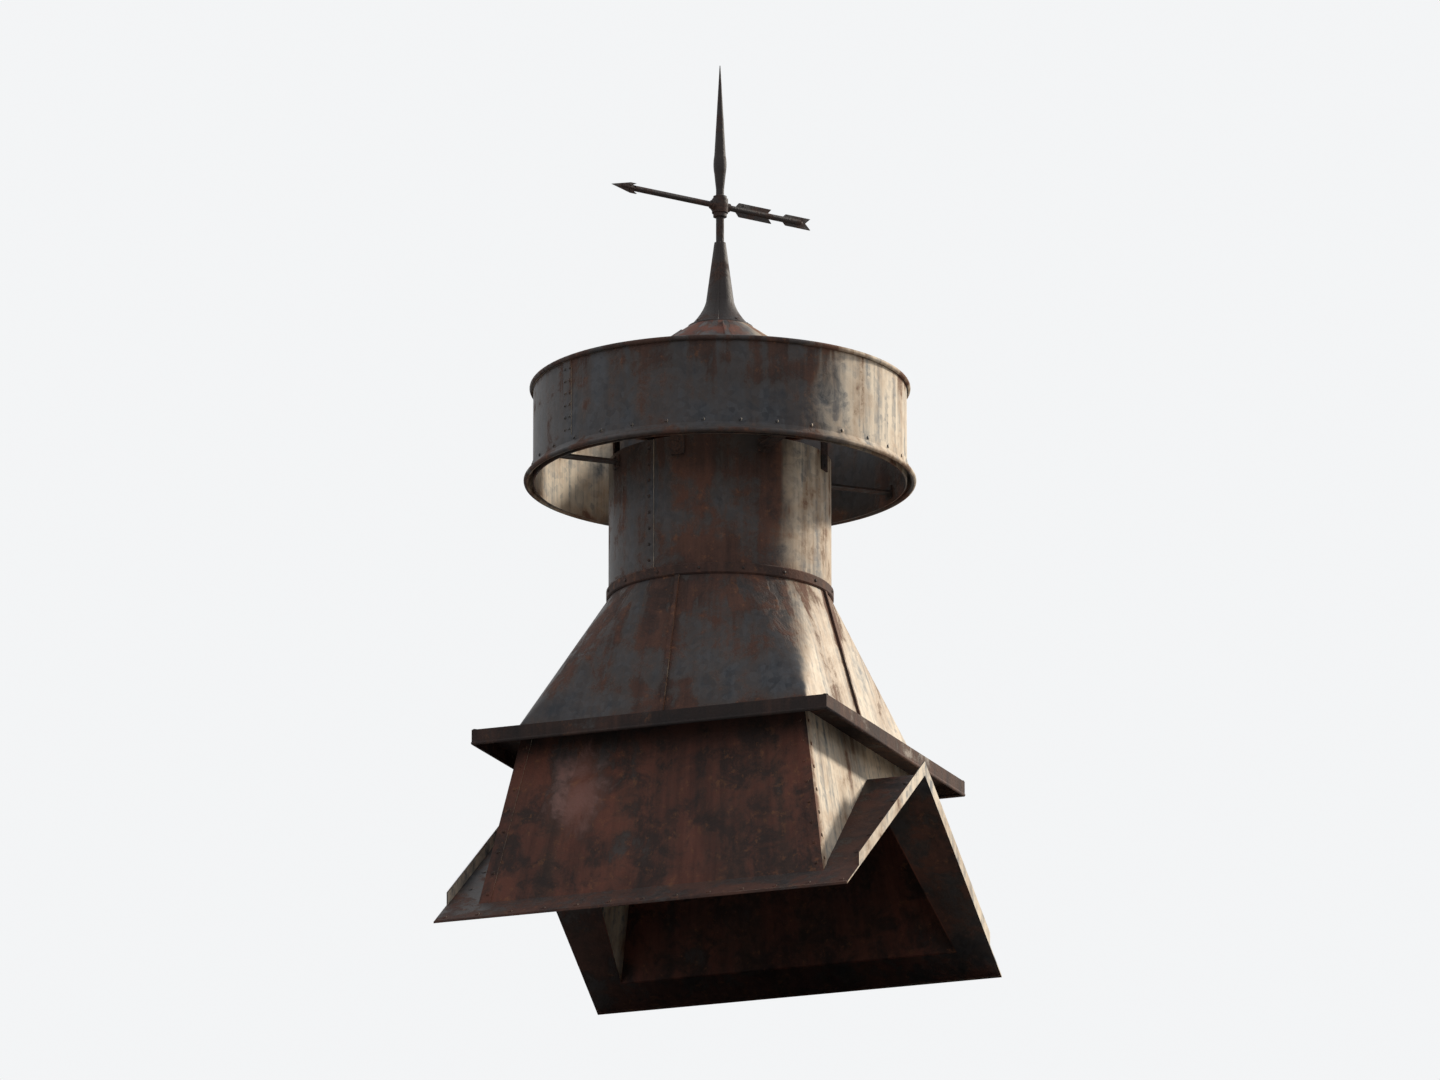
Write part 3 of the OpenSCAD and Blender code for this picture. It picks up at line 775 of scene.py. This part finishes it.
def neck_rivets(seam_count=8, collar_count=16, seam_end=0.02):
    """Rivets up the neck's seam, round its collar, and through the feet of the straps and stays."""
    bm = bmesh.new()
    seam_room = NECK_TOP - COLLAR_TOP - 2 * seam_end
    for i in range(seam_count):
        z = COLLAR_TOP + seam_end + seam_room * i / (seam_count - 1)
        rivet(bm, polar(NECK_R + SEAM_T, NECK_SEAM_AT, z), polar(1, NECK_SEAM_AT, 0), radius=0.0042)
    collar_z = (NECK_FOOT + COLLAR_TOP) / 2
    rivet_ring(bm, NECK_R + COLLAR_T, collar_z, collar_count, math.pi / collar_count, 0.0042)
    stay_z = (low("stay_front_left").z + high("stay_front_left").z) / 2
    for i in range(4):
        strap = i * math.pi / 2
        stay = strap + math.pi / 4
        for above in (0.011, 0.034):
            place = polar(NECK_R + STRAP_T, strap, STRAP_LOW + above)
            rivet(bm, place, polar(1, strap, 0), radius=0.0055, rise=0.0032)
        for shift in (-0.0095, 0.0095):
            place = polar(NECK_R + STAY_T, stay, stay_z + shift)
            rivet(bm, place, polar(1, stay, 0), radius=0.0045)
    return piece("neck_rivets", bm, "strap_iron")


# Wind band

BAND_SEAM_AT = math.radians(-122)


def band_seam():
    """Lapped seam up the outside of the wind band."""
    bm = bmesh.new()
    curved_strip(bm, BAND_R, SEAM_T, BAND_SEAM_AT, 0.032, RIM_TOP, BAND_TOP - BEAD_D)
    return piece("band_seam", bm, "band_sheet", smooth=False)


def band_rivets(rim_count=32, seam_count=6, from_rim_top=0.008, seam_end=0.018):
    """Rivets round the rim, and in pairs up the band's seam."""
    bm = bmesh.new()
    rivet_ring(bm, RIM_R, RIM_TOP - from_rim_top, rim_count, math.pi / rim_count, 0.0045)
    seam_room = BAND_TOP - BEAD_D - RIM_TOP - 2 * seam_end
    for i in range(seam_count):
        z = RIM_TOP + seam_end + seam_room * i / (seam_count - 1)
        for shift in (-0.009, 0.009):
            angle = BAND_SEAM_AT + shift / BAND_R
            rivet(bm, polar(BAND_R + SEAM_T, angle, z), polar(1, angle, 0), radius=0.004)
    return piece("band_rivets", bm, "band_sheet")


# Cap

CAP_SEAM_START = math.radians(28)


def cap_outward(angle):
    """Direction out of the cone at an angle round it."""
    return polar(math.sin(CAP_PITCH), angle, math.cos(CAP_PITCH))


def on_cap(radius, angle):
    return polar(radius, angle, CAP_TOP - (radius - CAP_FLAT_R) * math.tan(CAP_PITCH))


def cap_seams(below_flat=0.012, from_edge=0.002, height=0.004):
    """Raised seams between the four gores of the cap."""
    bm = bmesh.new()
    for i in range(4):
        angle = CAP_SEAM_START + i * math.pi / 2
        across = polar(1, angle + math.pi / 2, 0)
        loft(bm, [
            flat_ridge(on_cap(radius, angle), across, cap_outward(angle), 0.006, 0.005, height, SUNK)
            for radius in (CAP_FLAT_R + below_flat, CAP_R - from_edge)
        ])
    return piece("cap_seams", bm, "cap_sheet", smooth=False)


def cap_rivets(spacing=0.020):
    """Rivets through the cap into its four straps."""
    bm = bmesh.new()
    for i in range(4):
        for side in SIDES:
            angle = i * math.pi / 2 + side * spacing / 2 / NECK_R
            rivet(bm, on_cap(NECK_R, angle), cap_outward(angle), radius=0.0055, rise=0.003)
    return piece("cap_rivets", bm, "strap_iron")


# Spire and vane

def skirt_place(share, angle):
    """A place on the ferrule's skirt, from 0 at its foot to 1 at its top, and the way out of it."""
    radius = FERRULE_R + (SKIRT_TOP_R - FERRULE_R) * share - 4 * SKIRT_SAG * share * (1 - share)
    slope = (SKIRT_TOP_R - FERRULE_R - 4 * SKIRT_SAG * (1 - 2 * share)) / SKIRT_H
    outward = polar(1, angle, -slope).normalized()
    return polar(radius, angle, CAP_TOP + SKIRT_H * share), outward


def ferrule_nails(count=8, up_skirt=0.16, start=0.3):
    """Nails round the foot of the ferrule's skirt."""
    bm = bmesh.new()
    for i in range(count):
        place, outward = skirt_place(up_skirt, 2 * math.pi * (i + start) / count)
        rivet(bm, place, outward, radius=0.0042, rise=0.0022)
    return piece("ferrule_nails", bm, "spire_iron")


def ferrule_seam(steps=6, half_foot=0.0055, narrowing=0.0028, height=0.0013, sunk=0.0008):
    """Lapped seam up the ferrule, over its skirt and its sleeve."""
    bm = bmesh.new()
    angle = math.radians(-75)
    across = polar(1, angle + math.pi / 2, 0)
    sleeve_slope = (SKIRT_TOP_R - FERRULE_HEAD_R) / (FERRULE_TOP - CAP_TOP - SKIRT_H)
    path = [skirt_place(i / steps, angle) for i in range(steps + 1)]
    path.append((polar(FERRULE_HEAD_R, angle, FERRULE_TOP), polar(1, angle, sleeve_slope).normalized()))
    rings = []
    for i, (middle, outward) in enumerate(path):
        half = half_foot - narrowing * i / len(path)
        rings.append(flat_ridge(middle, across, outward, half, half * 0.8, height, sunk))
    loft(bm, rings)
    return piece("ferrule_seam", bm, "spire_iron", smooth=False)


def ferrule_solder(sides=48, section_sides=8, in_from_foot=0.0005, above_cap=0.0004):
    """Uneven bead of solder round the foot of the ferrule."""
    bm = bmesh.new()
    rings = []
    for i in range(sides):
        angle = 2 * math.pi * i / sides
        swell = 0.0030 + 0.0008 * math.sin(3 * angle + 1) + 0.0004 * math.sin(7 * angle)
        outward = polar(1, angle, 0)
        middle = polar(FERRULE_R - in_from_foot, angle, CAP_TOP + above_cap)
        rings.append([middle + outward * a + UP * b for a, b in disc(swell, section_sides)])
    loft(bm, rings, closed=True)
    return piece("ferrule_solder", bm, "spire_iron")


def vane_frame():
    """The arrow's direction, from the spire to its tail, and the direction across it."""
    middle = (low("arrow_tail") + high("arrow_tail")) / 2
    heading = math.atan2(middle.y, middle.x)
    return polar(1, heading, 0), polar(1, heading + math.pi / 2, 0)


# Rivets of the arrow, by their reach along it from the spire and how far they are off its middle
ARROW_RIVETS = (
    (0.068, 0.0120), (0.118, 0.0120),
    (0.200, 0.0102), (0.228, 0.0102),
    (-0.262, 0.0060),
)
# The screw's shank and its square head: radius, start and end out of the hub, and sides
SCREW_STEPS = ((0.0038, 0.0, 0.006, 10), (0.0062, 0.006, 0.0125, 4))


def vane_rivets():
    """Rivets through the arrow's plates, and the screw in its hub."""
    bm = bmesh.new()
    along, across = vane_frame()
    hub = UP * HUB_Z
    for reach, rise in ARROW_RIVETS:
        for side in SIDES:
            for level in SIDES:
                place = hub + along * reach + across * (side * PLATE_T / 2) + UP * (level * rise)
                rivet(bm, place, across * side, radius=0.0024, rise=0.0013, sides=8)
    screw_foot = hub + across * (HUB_R - 0.001)
    for radius, start, end, sides in SCREW_STEPS:
        loft(bm, [
            [screw_foot + across * distance + along * a + UP * b for a, b in disc(radius, sides)]
            for distance in (start, end)
        ])
    return piece("vane_rivets", bm, "vane_iron", body=VANE)


def arrow_ribs():
    """Ribs in line with the shaft, where it runs out into the last feather and into the head."""
    bm = bmesh.new()
    along, _ = vane_frame()
    hub = UP * HUB_Z
    tail_rib = (SHAFT_END - 0.007, SHAFT_END + 0.008)
    head_rib = (-HEAD_FOOT + 0.010, -HEAD_FOOT - 0.038)
    tube(bm, [hub + along * reach for reach in tail_rib], SHAFT_R * 0.7)
    tube(bm, [hub + along * reach for reach in head_rib], SHAFT_R * 0.45)
    return piece("arrow_ribs", bm, "vane_iron", body=VANE)


# Stage

PALE = (0.90, 0.91, 0.92, 1.0)
WORLD_STRENGTH = 0.70
FLOOR_RADIUS = 60.0


def floor_material():
    """Pale to the eye, darker in what it throws back, and clear from below."""
    material = bpy.data.materials.new("floor")
    material.use_nodes = True
    tree = material.node_tree
    tree.nodes.clear()
    new = tree.nodes.new
    seen = new("ShaderNodeBsdfDiffuse")
    seen.inputs["Color"].default_value = (0.72, 0.73, 0.76, 1.0)
    thrown = new("ShaderNodeBsdfDiffuse")
    thrown.inputs["Color"].default_value = (0.30, 0.29, 0.28, 1.0)
    clear = new("ShaderNodeBsdfTransparent")
    path = new("ShaderNodeLightPath")
    side = new("ShaderNodeNewGeometry")
    by_ray = new("ShaderNodeMixShader")
    by_side = new("ShaderNodeMixShader")
    output = new("ShaderNodeOutputMaterial")
    link = tree.links.new
    link(path.outputs["Is Camera Ray"], by_ray.inputs[0])
    link(thrown.outputs[0], by_ray.inputs[1])
    link(seen.outputs[0], by_ray.inputs[2])
    link(side.outputs["Backfacing"], by_side.inputs[0])
    link(by_ray.outputs[0], by_side.inputs[1])
    link(clear.outputs[0], by_side.inputs[2])
    link(by_side.outputs[0], output.inputs["Surface"])
    return material


def make_floor():
    """A wide round floor, a hair under the lowest edges."""
    below = 0.0005
    bm = bmesh.new()
    bmesh.ops.create_circle(bm, cap_ends=True, radius=FLOOR_RADIUS, segments=64)
    mesh = bpy.data.meshes.new("floor")
    bm.to_mesh(mesh)
    bm.free()
    floor = bpy.data.objects.new("floor", mesh)
    floor.location.z = cad_box[0].z - below
    bpy.context.scene.collection.objects.link(floor)
    mesh.materials.append(floor_material())


def make_world():
    """Plain light from all round, with a pale background."""
    world = bpy.data.worlds.new("studio")
    bpy.context.scene.world = world
    world.use_nodes = True
    tree = world.node_tree
    tree.nodes.clear()
    new = tree.nodes.new
    light = new("ShaderNodeBackground")
    light.inputs["Color"].default_value = (0.93, 0.96, 1.0, 1.0)
    light.inputs["Strength"].default_value = WORLD_STRENGTH
    shown = new("ShaderNodeBackground")
    shown.inputs["Color"].default_value = PALE
    path = new("ShaderNodeLightPath")
    either = new("ShaderNodeMath")
    either.operation = "MAXIMUM"
    mixed = new("ShaderNodeMixShader")
    output = new("ShaderNodeOutputWorld")
    link = tree.links.new
    link(path.outputs["Is Camera Ray"], either.inputs[0])
    link(path.outputs["Is Glossy Ray"], either.inputs[1])
    link(either.outputs[0], mixed.inputs[0])
    link(light.outputs[0], mixed.inputs[1])
    link(shown.outputs[0], mixed.inputs[2])
    link(mixed.outputs[0], output.inputs["Surface"])


# Direction of the photograph's low sun, from behind on the right
KEY_FROM = Vector((0.52, 0.72, 0.46)).normalized()


def make_lamps():
    """One low warm sun."""
    key = bpy.data.lights.new("key", "SUN")
    key.energy = 3.05
    key.angle = math.radians(6)
    key.color = (1.0, 0.92, 0.80)
    lamp = bpy.data.objects.new("key", key)
    lamp.rotation_mode = "QUATERNION"
    lamp.rotation_quaternion = KEY_FROM.to_track_quat("Z", "Y")
    bpy.context.scene.collection.objects.link(lamp)


# The photograph's view: from far off, low down and a little to the right
AZIMUTH = math.radians(22)
ELEVATION = math.radians(-15.3)
DISTANCE = 31.5
FRAME_H = 2.52
AIM = Vector((0.0, 0.0, 0.985))
FRAME_SHAPE = 1440 / 1080


def make_camera():
    """The photograph's view, in a frame of FRAME_H metres at the part."""
    back = Vector((
        math.sin(AZIMUTH) * math.cos(ELEVATION),
        -math.cos(AZIMUTH) * math.cos(ELEVATION),
        math.sin(ELEVATION),
    ))
    data = bpy.data.cameras.new("camera")
    data.sensor_width = 36
    data.lens = data.sensor_width * DISTANCE / (FRAME_H * FRAME_SHAPE)
    data.clip_start = 1.0
    data.clip_end = 300.0
    camera = bpy.data.objects.new("camera", data)
    camera.location = AIM + back * DISTANCE
    camera.rotation_mode = "QUATERNION"
    camera.rotation_quaternion = back.to_track_quat("Z", "Y")
    bpy.context.scene.collection.objects.link(camera)
    bpy.context.scene.camera = camera


make_camera()
make_world()
make_lamps()
make_floor()
dress_nodes()

for make in (
    corner_strips, corner_rivets, flashing_nails, flashing_hems, ledge_hem, ledge_laps, hood_rivets,
    neck_seam, neck_rivets, band_seam, band_rivets, cap_seams, cap_rivets,
    ferrule_solder, ferrule_nails, ferrule_seam, vane_rivets, arrow_ribs,
):
    make()

bpy.context.scene.view_settings.view_transform = "Standard"
